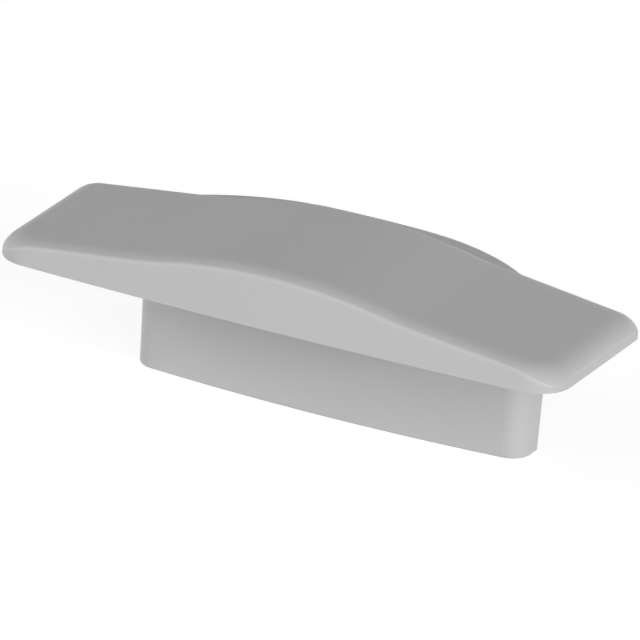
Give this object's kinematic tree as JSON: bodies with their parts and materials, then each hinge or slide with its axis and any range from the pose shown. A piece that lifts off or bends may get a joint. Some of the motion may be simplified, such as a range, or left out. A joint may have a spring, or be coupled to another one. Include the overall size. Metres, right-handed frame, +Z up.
{
  "type": "profile end cap",
  "caption": "Moulded end cap with a bell-topped cover plate, a low lug behind it and a shallow flat plug that slides into the open end of a profile.",
  "frame": {"origin": "middle of the cover plate's underside, which seats on the cut end of the profile", "axes": "+X along the plate, +Y towards the lug and the straight back edge, +Z up out of the profile"},
  "size_m": [0.06, 0.0246, 0.0192],
  "materials": {
    "shell_plastic": "satin light grey"
  },
  "bodies": {
    "root": {"end_cap": "shell_plastic"}
  },
  "joints": []
}
